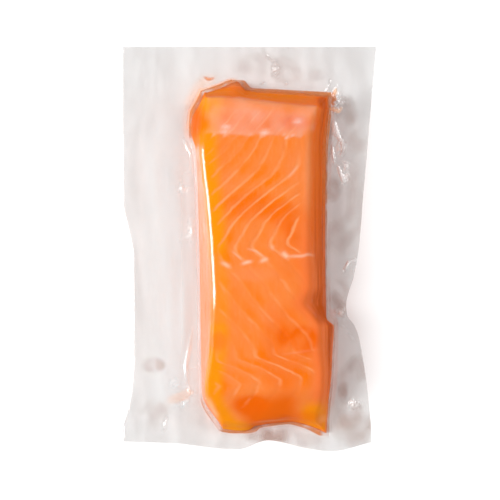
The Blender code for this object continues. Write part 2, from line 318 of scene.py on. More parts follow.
@dataclass(frozen=True)
class FishPlan:
    """The sizes of the fish that its body and the film on it share."""

    thickness: float = 0.0212
    crown: float = 0.0008
    shoulder: float = 0.0021
    shoulder_start: float = 0.88
    undercut: float = 0.0010
    foot_height: float = 0.0012
    floor: float = 0.0005
    turn_slope: float = 0.10
    thickness_along: Line = Line(
        (-0.0760, 0.34), (-0.0700, 0.54), (-0.0640, 0.75), (-0.0570, 0.91),
        (-0.0460, 0.97), (-0.0250, 1.0), (0.0350, 1.0), (0.0620, 0.95),
    )  # fmt: skip
    seam_place: Line = Line(
        (-0.0760, 0.0288), (-0.0634, 0.0355), (-0.0584, 0.0384), (-0.0559, 0.0384), (-0.0529, 0.0345),
        (-0.0500, 0.0296), (-0.0470, 0.0234), (-0.0441, 0.0183), (-0.0412, 0.0176), (-0.0349, 0.0131),
        (-0.0281, 0.0071), (-0.0206, 0.0011), (-0.0130, -0.0040), (-0.0055, -0.0101), (0.0008, -0.0134),
        (0.0055, -0.0103), (0.0105, -0.0072), (0.0164, -0.0010), (0.0223, 0.0069), (0.0281, 0.0158),
        (0.0332, 0.0204), (0.0382, 0.0212), (0.0433, 0.0208), (0.0500, 0.0262), (0.0600, 0.0346),
        (0.0647, 0.0380),
    )  # fmt: skip
    seam_spacing: Line = Line(
        (-0.0760, 0.0101), (-0.0584, 0.0088), (-0.0500, 0.0081), (-0.0281, 0.0078), (-0.0206, 0.0083),
        (-0.0055, 0.0084), (0.0008, 0.0073), (0.0105, 0.0068), (0.0164, 0.0073), (0.0281, 0.0088),
        (0.0332, 0.0084), (0.0433, 0.0059), (0.0500, 0.0055),
    )  # fmt: skip

    def height(self, x: Field, y: Field) -> Field:
        """The thickness of the fish.

        Args:
            x: places across.
            y: places along.

        Returns:
            The thickness at each place, or outside the rim what it is at the rim.
        """
        inner = np.clip(y, BOTTOM.rim.at(x), TOP.rim.at(x))
        left, right = LEFT.rim.at(inner), RIGHT.rim.at(inner)
        across = np.clip((2 * x - left - right) / (right - left), -1.0, 1.0)
        return self.thickness * self.thickness_along.at(inner) - self.crown * across * across

    def along(self, x: Field, y: Field) -> Field:
        """How far along the fish each place is, by the slope that the seams turn on."""
        return y - self.turn_slope * x

    def turns(self, x: Field, y: Field) -> Field:
        """How many seams of the muscle lie before each place: whole on a seam."""
        along = self.along(x, y)
        return (x - self.seam_place.at(along)) / self.seam_spacing.at(along)

    def wall(self, count: int, rounding: int, off: float) -> list[Ring]:
        """The rings up the wall of the fish and over its shoulder.

        Args:
            count: the number of rings on the wall.
            rounding: the number of faces over the shoulder.
            off: how far the rings stand off the fish.

        Returns:
            The rings, from the foot to the rim.
        """
        rings = []
        for i in range(count):
            t = i / count
            drop = self.shoulder * t - self.foot_height * (1 - t)
            rings.append(Ring(wall=self.shoulder_start * t, out=off, share=t, drop=drop))
        for i in range(rounding + 1):
            turn = math.pi / 2 * i / rounding
            out = off * math.cos(turn) - self.shoulder * (1 - math.cos(turn))
            wall = self.shoulder_start + (1 - self.shoulder_start) * i / rounding
            rings.append(Ring(wall=wall, out=out, share=1.0, drop=self.shoulder * (1 - math.sin(turn))))
        return rings


def from_nearer_end(count: int) -> Field:
    """How many lines in from the nearer end each of a number of lines is."""
    return np.minimum(np.arange(count), count - 1 - np.arange(count))


class Grid:
    """A surface over the plan of the pack: rings in from each side, and even lines between them."""

    def __init__(self, rings: Sequence[Ring], across: int, along: int, plan: FishPlan, hollow: float) -> None:
        """Lay the lines out.

        Args:
            rings: the rings from the outermost in.
            across: the number of faces between the innermost rings, across.
            along: the same, along.
            plan: the sizes of the fish.
            hollow: the width of hollow that the surface spans, or 0.
        """
        self.rings, self.hollow = rings, hollow
        self.columns = 2 * len(rings) + across - 1
        self.rows = 2 * len(rings) + along - 1
        x = np.zeros((self.columns, self.rows))
        y = np.zeros((self.columns, self.rows))
        for _ in range(4):
            x = self._lines(LEFT, RIGHT, across, y)
            y = self._lines(BOTTOM, TOP, along, x.T).T
        self.x, self.y = x, y
        height = plan.height(x, y)
        over_columns, over_rows = self._heights(self.columns), self._heights(self.rows)
        self.z = np.minimum(
            over_columns[0][:, None] * height - over_columns[1][:, None],
            over_rows[0][None, :] * height - over_rows[1][None, :],
        )
        self.column = np.arange(float(self.columns))[:, None]
        self.row = np.arange(float(self.rows))[None, :]
        self.from_end = from_nearer_end(self.rows)[None, :].astype(float)
        self.inside = np.minimum(from_nearer_end(self.columns)[:, None], self.from_end)

    def _heights(self, count: int) -> Field:
        """The share and drop of each of a number of lines."""
        own = [self.rings[min(depth, len(self.rings) - 1)] for depth in from_nearer_end(count)]
        return np.array([(ring.share, ring.drop) for ring in own]).T

    def _place(self, side: Side, ring: Ring, at: Field) -> Field:
        """Where a ring crosses one side.

        Args:
            side: the side.
            ring: the ring.
            at: places along that side.

        Returns:
            The ring's distance from the middle at each place.
        """
        foot = side.foot.bridged(at, side.outward, self.hollow)
        if ring.margin > 0:
            start = foot + side.outward * ring.out
            return start + ring.margin * (side.edge.at(at) - start)
        rim = side.rim.bridged(at, side.outward, self.hollow)
        return foot + ring.wall * (rim - foot) + side.outward * ring.out

    def _lines(self, low: Side, high: Side, between: int, at: Field) -> Field:
        """Where every line between two opposite sides lies.

        Args:
            low: the side that the first line belongs to.
            high: the side that the last line belongs to.
            between: the number of faces between the innermost rings.
            at: the places along the sides, one row for each line.

        Returns:
            The positions across, one row for each line.
        """
        rows = [self._place(low, ring, at[i]) for i, ring in enumerate(self.rings)]
        for i in range(1, between):
            places = at[len(self.rings) - 1 + i]
            start = self._place(low, self.rings[-1], places)
            end = self._place(high, self.rings[-1], places)
            rows.append(start + (end - start) * i / between)
        rows += [self._place(high, ring, at[-1 - i]) for i, ring in reversed(list(enumerate(self.rings)))]
        return np.array(rows)

    def mesh(self, z: Field, masks: dict[str, Field]) -> Mesh:
        """Make the surface.

        Args:
            z: the height of each crossing, by column and row.
            masks: values to keep on the vertices, by the name that a material reads.

        Returns:
            An open grid mesh that faces up.
        """
        mesh = bmesh.new()
        layers = {name: mesh.verts.layers.float.new(name) for name in masks}
        bmesh.ops.create_grid(mesh, x_segments=self.columns - 1, y_segments=self.rows - 1, size=0.5)
        for vert in mesh.verts:
            i = round((vert.co.x + 0.5) * (self.columns - 1))
            j = round((vert.co.y + 0.5) * (self.rows - 1))
            vert.co = (self.x[i, j], self.y[i, j], z[i, j])
            for name, layer in layers.items():
                vert[layer] = masks[name][i, j]
        return mesh


def smooth(mesh: Mesh, verts: list[bmesh.types.BMVert]) -> None:
    """Ease vertices halfway to the middle of their neighbours."""
    bmesh.ops.smooth_vert(mesh, verts=verts, factor=0.5, use_axis_x=True, use_axis_y=True, use_axis_z=True)


class Bench:
    """A node tree, with short ways to add nodes and join them."""

    def __init__(self, tree: bpy.types.NodeTree) -> None:
        """Take a tree and clear it."""
        self.tree = tree
        tree.nodes.clear()

    def add(self, kind: str, **settings: object) -> bpy.types.Node:
        """Add a node.

        Args:
            kind: the node's type without the word that all shader nodes start with.
            settings: properties of the node to set.

        Returns:
            The node.
        """
        node = self.tree.nodes.new("ShaderNode" + kind)
        for name, value in settings.items():
            setattr(node, name, value)
        return node

    def fill(self, node: bpy.types.Node, *in_turn: object, **named: object) -> bpy.types.Node:
        """Fill a node's inputs with plain values or with outputs of other nodes.

        Args:
            node: the node.
            in_turn: what goes into the inputs that it shows, in their order.
            named: what goes into inputs whose names have spaces where these have underscores.

        Returns:
            The node.
        """
        shown = [socket for socket in node.inputs if socket.enabled]
        by_name = [(node.inputs[name.replace("_", " ")], value) for name, value in named.items()]
        for socket, value in [*zip(shown, in_turn), *by_name]:
            if isinstance(value, Socket):
                self.tree.links.new(value, socket)
            else:
                socket.default_value = (*value, 1.0) if socket.type == "RGBA" else value
        return node

    def maths(self, operation: str, *values: object, clamp: bool = False) -> Socket:
        """A sum on numbers, whose result may be held between 0 and 1."""
        return self.fill(self.add("Math", operation=operation, use_clamp=clamp), *values).outputs[0]

    def times(self, first: object, second: object, clamp: bool = False) -> Socket:
        """One number times another."""
        return self.maths("MULTIPLY", first, second, clamp=clamp)

    def scaled(self, value: object, scale: object, start: object, clamp: bool = False) -> Socket:
        """A number times a scale, added to a start."""
        return self.maths("MULTIPLY_ADD", value, scale, start, clamp=clamp)

    def step(self, value: Socket, low: float, high: float) -> Socket:
        """A smooth step: 0 at low, 1 at high, which may be the smaller."""
        node = self.add("MapRange", interpolation_type="SMOOTHSTEP")
        return self.fill(node, Value=value, From_Min=low, From_Max=high).outputs["Result"]

    def blend(self, share: object, first: object, second: object) -> Socket:
        """A colour between two, by a share."""
        return self.fill(self.add("Mix", data_type="RGBA"), share, first, second).outputs[2]

    def kept(self, name: str) -> Socket:
        """A value that the piece keeps on its vertices."""
        return self.add("Attribute", attribute_name=name).outputs["Fac"]

    def mottle(self, tree: bpy.types.NodeTree, place: object, lumps: float, contrast: float) -> bpy.types.Node:
        """Place the shared mottle, with its number of lumps to a metre and its contrast."""
        return self.fill(self.add("Group", node_tree=tree), Place=place, Lumps=lumps, Contrast=contrast)

    def place(self, *stretch: float) -> Socket:
        """The place on the piece in metres.

        Args:
            stretch: the scale of each axis, where it isn't 1.

        Returns:
            The place.
        """
        coords = self.add("TexCoord").outputs["Object"]
        if not stretch:
            return coords
        return self.fill(self.add("Mapping"), Vector=coords, Scale=stretch).outputs["Vector"]

    def noise(self, place: Socket, scale: object, detail: float = 2.0) -> Socket:
        """Smooth noise around a half, with so many lumps to a metre."""
        return self.fill(self.add("TexNoise"), Vector=place, Scale=scale, Detail=detail).outputs["Fac"]

    def bumps(self, height: Socket, strength: float, depth: float) -> Socket:
        """Normals turned by a height."""
        return self.fill(self.add("Bump"), Strength=strength, Distance=depth, Height=height).outputs["Normal"]

    def shader(self, kind: str, **values: object) -> Socket:
        """Add a shader and fill its inputs."""
        return self.fill(self.add(kind), **values).outputs[0]

    def mix(self, share: object, first: Socket, second: Socket) -> Socket:
        """A shader between two, by a share."""
        return self.fill(self.add("MixShader"), share, first, second).outputs[0]

    def finish(self, shader: Socket) -> None:
        """Make a shader the surface of the material."""
        self.fill(self.add("OutputMaterial"), Surface=shader)


def new_material(name: str) -> tuple[bpy.types.Material, Bench]:
    """A material, and the bench to build it on."""
    material = bpy.data.materials.new(name)
    material.use_nodes = True
    return material, Bench(material.node_tree)


def mottle_group() -> bpy.types.NodeTree:
    """The soft unevenness that flesh, film and table have, as a mask and a height.

    Returns:
        A group with inputs Place, Lumps and Contrast, and outputs Mask and Height.
    """
    tree = bpy.data.node_groups.new("soft mottle", "ShaderNodeTree")
    for name, kind in (("Place", "NodeSocketVector"), ("Lumps", "NodeSocketFloat"), ("Contrast", "NodeSocketFloat")):
        tree.interface.new_socket(name, in_out="INPUT", socket_type=kind)
    for name in ("Mask", "Height"):
        tree.interface.new_socket(name, in_out="OUTPUT", socket_type="NodeSocketFloat")
    bench = Bench(tree)
    given = tree.nodes.new("NodeGroupInput").outputs
    coarse = bench.noise(given["Place"], given["Lumps"], 4.0)
    fine = bench.noise(given["Place"], bench.times(given["Lumps"], 5.3))
    mask = bench.scaled(bench.maths("SUBTRACT", coarse, 0.5), given["Contrast"], 0.5, clamp=True)
    bench.fill(tree.nodes.new("NodeGroupOutput"), Mask=mask, Height=bench.scaled(fine, 0.35, mask))
    return tree


@dataclass(frozen=True)
class SalmonFlesh:
    """Moist orange flesh: blocks of muscle between pale seams, paler fat, a deeper shade on the end that is partly
    painted shade, and painted shade down the right wall, under its rim and along the foot.
    """

    mottle: bpy.types.NodeTree
    orange: Colour = (0.955, 0.247, 0.051)
    deep: Colour = (0.91, 0.138, 0.002)
    rich: Colour = (0.97, 0.200, 0.006)
    amber: Colour = (1.0, 0.300, 0.004)
    seam: Colour = (0.98, 0.340, 0.125)
    fat: Colour = (1.0, 0.56, 0.38)
    # end_shade: the darker red of the sloping lower end, partly the flesh's own tone and partly painted shade.
    end_shade: Colour = (0.86, 0.140, 0.004)
    rose: Colour = (0.95, 0.200, 0.045)
    pale: Colour = (0.98, 0.280, 0.100)
    # brown: brown marks, and also the painted shade down the right wall and along the foot.
    brown: Colour = (0.60, 0.090, 0.006)
    wander: float = 0.22
    seam_reach: float = 0.175
    breakage: float = 0.65
    fibre_shade: float = 0.18
    pale_shade: float = 0.6
    radius: Triple = (0.0060, 0.0018, 0.0008)

    def material(self) -> bpy.types.Material:
        """Build the material.

        Returns:
            The finish, which reads the seams that the piece keeps on its vertices.
        """
        material, bench = new_material("salmon_flesh")
        # right: the painted shade down the right wall, which is turned from the light.
        place, face, right = bench.place(), bench.kept("cut_face"), bench.kept("right_wall_shade")
        fibres = bench.noise(bench.place(900.0, 220.0, 900.0), 1.0, 3.0)
        patches = bench.mottle(self.mottle, place, 75.0, 3.2).outputs["Mask"]
        seam, muscle = self.seams(bench, place)
        distinct = bench.scaled(bench.kept("seam_strength"), 1.2, 0.15)
        muscle = bench.times(bench.times(bench.times(muscle, patches), face, clamp=True), distinct, clamp=True)
        cut = bench.step(bench.noise(bench.place(420.0, 14.0, 420.0), 1.0), 0.40, 0.60)
        striped = bench.times(bench.times(cut, bench.scaled(right, 0.72, 0.07)), bench.maths("SUBTRACT", 1.0, face))
        colour = self.orange
        # The deep patches also carry painted shade under the right rim, the end slope and right wall are painted shade,
        # and the brown marks carry painted contact shade along the foot.
        for share, tone in (
            (muscle, self.rich),
            (bench.times(bench.step(fibres, 0.45, 0.75), self.fibre_shade), self.seam),
            (bench.times(bench.kept("left_edge"), bench.step(patches, -0.8, 0.4)), self.amber),
            (bench.times(bench.kept("pale_patches"), self.pale_shade), self.pale),
            (bench.kept("right_edge"), self.rose),
            (bench.kept("end_slope_shade"), self.end_shade),
            (bench.times(bench.kept("deep_patches_and_shade"), bench.step(patches, -0.6, 0.5)), self.deep),
            (bench.scaled(right, 0.22, striped), self.brown),
            (bench.kept("brown_marks_and_foot_shade"), self.brown),
            (seam, self.seam),
            (bench.kept("fat_marks"), self.fat),
        ):
            colour = bench.blend(share, colour, tone)
        fine = bench.mottle(self.mottle, place, 420.0, 1.5)
        flesh = bench.shader(
            "BsdfPrincipled",
            Base_Color=colour,
            Roughness=bench.scaled(fine.outputs["Mask"], 0.20, 0.34),
            Normal=bench.bumps(bench.scaled(fibres, 0.5, fine.outputs["Height"]), 0.35, 0.00025),
            Subsurface_Weight=0.12,
            Subsurface_Radius=self.radius,
            Subsurface_Scale=0.6,
            IOR=1.06,
        )
        bench.finish(flesh)
        return material

    def seams(self, bench: Bench, place: Socket) -> tuple[Socket, Socket]:
        """The seams, which wander and break up, and the blocks of muscle between them.

        Args:
            bench: where to add the nodes.
            place: the place on the piece.

        Returns:
            The share of seam, and the share of muscle, at each place.
        """
        wander = bench.scaled(bench.noise(place, 260.0, 1.0), self.wander, -self.wander / 2)
        turns = bench.maths("ADD", bench.kept("seam_turns"), wander)
        off_seam = bench.maths("SUBTRACT", bench.maths("FRACT", bench.maths("ADD", turns, 0.5)), 0.5)
        on_seam = bench.step(bench.maths("ABSOLUTE", off_seam), self.seam_reach, 0.010)
        gaps = bench.maths("SUBTRACT", bench.step(bench.noise(place, 110.0), 0.38, 0.62), 1.0)
        clear = bench.maths("MAXIMUM", bench.scaled(gaps, self.breakage, bench.kept("seam_strength")), 0.0)
        phase = bench.maths("FRACT", turns)
        blocks = bench.times(bench.step(phase, 0.04, 0.20), bench.step(phase, 0.85, 0.35))
        return bench.times(on_seam, clear, clamp=True), blocks


@dataclass(frozen=True)
class ClearFilm:
    """Thin clear film: it mirrors a little, more at a slant, and is milky where it is off the fish; that milk is partly
    a painted reflection of light, and shade, glow and glints are painted on the film as well.
    """

    mottle: bpy.types.NodeTree
    tint: Colour = (0.934, 0.932, 0.931)
    # milky_sheen: milky film over the top end and down the left wall, partly a painted reflection of light.
    milky_sheen: Colour = (0.92, 0.74, 0.66)
    # white: the white of the haze, and of crushed film, whose white partly paints glints on the creases.
    white: Colour = (0.98, 0.97, 0.96)
    # shade_grey: painted shade and reflection, mottled through the haze in bands.
    shade_grey: Colour = (0.36, 0.29, 0.265)
    # blotch_shade: painted shade in blotches on the margins, most where the fish shades the right margin.
    blotch_shade: Colour = (0.36, 0.24, 0.195)
    # fish_glow: a painted peach glow and reflection of the fish on the film beside it.
    fish_glow: Colour = (0.90, 0.54, 0.34)
    # juice_shade: juice along the foot of the fish, partly painted contact shadow in the gap between fish and film.
    juice_shade: Colour = (0.68, 0.22, 0.05)
    # bounce_cooling: a painted cool tint that cancels the warm light bounced from the fish onto the left margin.
    bounce_cooling: Colour = (0.68, 0.77, 0.80)
    mirrored_loose: float = 0.040
    mirrored_wetted: float = 0.002
    slant_loose: float = 0.90
    slant_wetted: float = 0.02
    crushed_mirrored: float = 0.80
    haze: float = 0.045
    # How strongly the painted cooling, the painted shade and glow, the milky sheen and the white of crushed film show.
    bounce_cooling_share: float = 0.25
    painted_shading: float = 0.5
    milky_sheen_share: float = 0.50
    crease_glint_white: float = 0.85

    def material(self, name: str, over_fish: bool) -> bpy.types.Material:
        """Build the material.

        Args:
            name: what the material is called.
            over_fish: whether it reads where the film is off the fish.

        Returns:
            The finish.
        """
        material, bench = new_material(name)
        place, wetted, juice_and_shade = bench.place(), bench.kept("wetted"), bench.kept("juice_and_shade")
        slant = bench.maths("POWER", bench.add("LayerWeight").outputs["Facing"], 5.0)
        least = bench.scaled(wetted, self.mirrored_wetted - self.mirrored_loose, self.mirrored_loose)
        most = bench.scaled(wetted, self.slant_wetted - self.slant_loose, self.slant_loose)
        mirrored = bench.scaled(slant, most, least)
        crinkle = bench.mottle(self.mottle, place, 380.0, 2.0)
        height = bench.times(crinkle.outputs["Height"], 0.25)
        roughness = bench.scaled(crinkle.outputs["Mask"], 0.14, 0.05)
        # The haze is mottled from grey to white: painted shade and reflection in uneven bands.
        bands = bench.mottle(self.mottle, bench.place(1.9, 0.5, 1.0), 85.0, 3.4).outputs["Mask"]
        hazy = bench.blend(bands, self.shade_grey, self.white)
        share = bench.maths("ADD", bench.scaled(wetted, -self.haze, self.haze), juice_and_shade)
        if over_fish:
            crushed = bench.kept("crushed")
            facets = bench.times(bench.noise(place, 800.0, 3.0), crushed)
            height = bench.scaled(facets, 3.0, height)
            roughness = bench.scaled(crushed, 0.18, roughness)
            cloud = bench.mottle(self.mottle, place, 120.0, 2.6).outputs["Mask"]
            crushed = bench.times(crushed, bench.scaled(cloud, 0.5, 0.5))
            mirrored = bench.scaled(crushed, self.crushed_mirrored, mirrored)
            # In turn: painted cooling, painted shade blotches, the white of crushed film that partly paints glints, the
            # painted glow of the fish, and milk that is partly painted reflection.
            for mask, amount, edge, tone in (
                (bench.kept("bounce_cooled"), self.bounce_cooling_share, 0.10, self.bounce_cooling),
                (bench.kept("painted_shading"), self.painted_shading, 0.10, self.blotch_shade),
                (crushed, self.crease_glint_white, 0.0, self.white),
                (bench.kept("fish_glow"), self.painted_shading, 0.10, self.fish_glow),
                (self.milk_and_sheen(bench), self.milky_sheen_share, 0.12, self.milky_sheen),
            ):
                share = bench.scaled(mask, amount, share, clamp=True)
                hazy = bench.blend(bench.step(mask, 0.0, edge) if edge else mask, hazy, tone)
        # Juice along the foot, partly painted contact shadow.
        hazy = bench.blend(bench.step(juice_and_shade, 0.0, 0.10), hazy, self.juice_shade)
        normal = bench.bumps(height, 1.0, 0.00020)
        clear = bench.shader("BsdfTransparent", Color=self.tint)
        gloss = bench.shader(
            "BsdfPrincipled", Base_Color=(1.0, 1.0, 1.0), Metallic=1.0, Roughness=roughness, Normal=normal
        )
        milky = bench.shader("BsdfPrincipled", Base_Color=hazy, Roughness=0.55)
        bench.finish(bench.mix(share, bench.mix(mirrored, clear, gloss), milky))
        return material

    def milk_and_sheen(self, bench: Bench) -> Socket:
        """Where the film is milky off the face of the fish, and in streaks down its wall: partly real milk, partly a
        painted reflection of light.
        """
        streaks = bench.noise(bench.place(1400.0, 60.0, 1400.0), 1.0)
        wall = bench.times(bench.kept("wall_milk_and_sheen"), bench.step(streaks, 0.25, 0.80))
        return bench.maths("MAXIMUM", bench.times(wall, 0.62), bench.kept("band_milk_and_sheen"))


@dataclass(frozen=True)
class PaleTable:
    """The plain white surface that the pack lies on."""

    mottle: bpy.types.NodeTree
    white: Colour = (0.97, 0.97, 0.97)
    shade: Colour = (0.95, 0.95, 0.95)

    def material(self) -> bpy.types.Material:
        """Build the material.

        Returns:
            The finish, a white with barely visible unevenness.
        """
        material, bench = new_material("pale_table")
        uneven = bench.mottle(self.mottle, bench.place(), 14.0, 1.5).outputs["Mask"]
        paint = bench.blend(uneven, self.white, self.shade)
        bench.finish(bench.shader("BsdfPrincipled", Base_Color=paint, Roughness=0.7))
        return material


def piece_from(name: str, mesh: Mesh, material: bpy.types.Material) -> bpy.types.Object:
    """Make a smooth-shaded object of a mesh.

    Args:
        name: the piece's name.
        mesh: its shape, which is freed.
        material: its finish.

    Returns:
        The object, at the origin.
    """
    data = bpy.data.meshes.new(name)
    mesh.to_mesh(data)
    mesh.free()
    data.materials.append(material)
    data.shade_smooth()
    piece = bpy.data.objects.new(name, data)
    bpy.context.scene.collection.objects.link(piece)
    return piece


def patches(*rows: tuple[float, ...]) -> tuple[Patch, ...]:
    """Patches from rows of x, y, reach_x, reach_y and strength."""
    return tuple(Patch(*row) for row in rows)


DEEP_PATCHES = patches(
    (0.0226, -0.0372, 0.0050, 0.0052, 1.8), (0.0140, -0.0360, 0.0030, 0.0040, 0.5),
    (0.0010, 0.0180, 0.0110, 0.0060, 0.5), (0.0150, 0.0140, 0.0070, 0.0060, 0.6),
    (0.0010, -0.0645, 0.0070, 0.0040, 1.5), (0.0220, -0.0700, 0.0080, 0.0030, 0.4),
    (-0.0225, 0.0530, 0.0046, 0.0080, 0.75), (-0.0130, -0.0380, 0.0040, 0.0040, 0.4),
    (0.0190, 0.0520, 0.0060, 0.0030, 0.6), (0.0145, -0.0420, 0.0100, 0.0200, 0.48),
    (0.0160, -0.0020, 0.0050, 0.0120, 0.30), (0.0178, 0.0050, 0.0034, 0.0060, 0.55),
    (0.0040, 0.0525, 0.0240, 0.0050, 0.45),
)  # fmt: skip
PALE_PATCHES = patches(
    (0.0020, -0.0105, 0.0090, 0.0030, 0.8), (-0.0132, -0.0385, 0.0028, 0.0060, 0.5),
    (0.0110, 0.0080, 0.0050, 0.0050, 0.3), (0.0080, -0.0270, 0.0050, 0.0050, 0.5),
    (0.0200, 0.0340, 0.0050, 0.0080, 0.4), (0.0268, -0.0330, 0.0024, 0.0080, 0.5),
    (-0.0060, 0.0280, 0.0060, 0.0050, 0.4),
)  # fmt: skip
AMBER_PATCHES = patches(
    (-0.0135, 0.0660, 0.0060, 0.0035, 0.9), (0.0120, 0.0650, 0.0190, 0.0036, 1.0),
    (-0.0192, 0.0585, 0.0018, 0.0080, 0.9), (-0.0222, 0.0520, 0.0040, 0.0090, 0.6),
    (-0.0040, -0.0745, 0.0060, 0.0030, 1.2), (0.0265, -0.0690, 0.0055, 0.0060, 1.1),
)  # fmt: skip
BROWN_PATCHES = patches(
    (0.0300, 0.0612, 0.0016, 0.0026, 0.9), (-0.0236, 0.0530, 0.0024, 0.0070, 0.30),
    (0.0306, -0.0270, 0.0045, 0.0040, 0.8),
)  # fmt: skip
FAT_MARKS = (
    Stroke(0.0008, 0.8, (-0.0119, -0.0054), (-0.0098, -0.0064), (-0.0078, -0.0076)),
    Stroke(0.0007, 0.9, (-0.0034, -0.0062), (-0.0010, -0.0054), (0.0012, -0.0050)),
    Stroke(0.0004, 0.5, (-0.0072, -0.0008), (-0.0030, -0.0046)),
    Stroke(0.0004, 0.6, (-0.0010, 0.0002), (0.0026, -0.0008), (0.0066, -0.0036)),
    Stroke(0.0008, 0.8, (0.0042, -0.0054), (0.0060, -0.0044), (0.0078, -0.0040)),
    Stroke(0.0010, 0.9, (0.0132, -0.0012), (0.0144, -0.0022), (0.0158, -0.0036)),
    Stroke(0.0006, 0.7, (0.0152, -0.0030), (0.0216, -0.0029), (0.0240, -0.0022), (0.0268, -0.0026)),
    Stroke(0.0010, 0.35, (0.0084, 0.0008), (0.0105, 0.0006)),
    Stroke(0.0005, 0.12, (0.0130, -0.0433), (0.0200, -0.0425), (0.0280, -0.0412)),
    Stroke(0.0006, 0.4, (0.0155, 0.0290), (0.0180, 0.0318), (0.0200, 0.0345)),
    Stroke(0.0004, 0.28, (0.0015, -0.0722), (0.0095, -0.0715), (0.0180, -0.0710)),
    Stroke(0.0016, 0.12, (0.0242, 0.0480), (0.0240, 0.0380), (0.0238, 0.0240), (0.0234, 0.0150)),
    Stroke(0.0012, 0.55, (-0.0174, -0.0610), (-0.0160, -0.0647), (-0.0147, -0.0674), (-0.0130, -0.0706)),
    Stroke(0.0022, 0.20, (0.0300, -0.0690), (0.0312, -0.0730)),
)


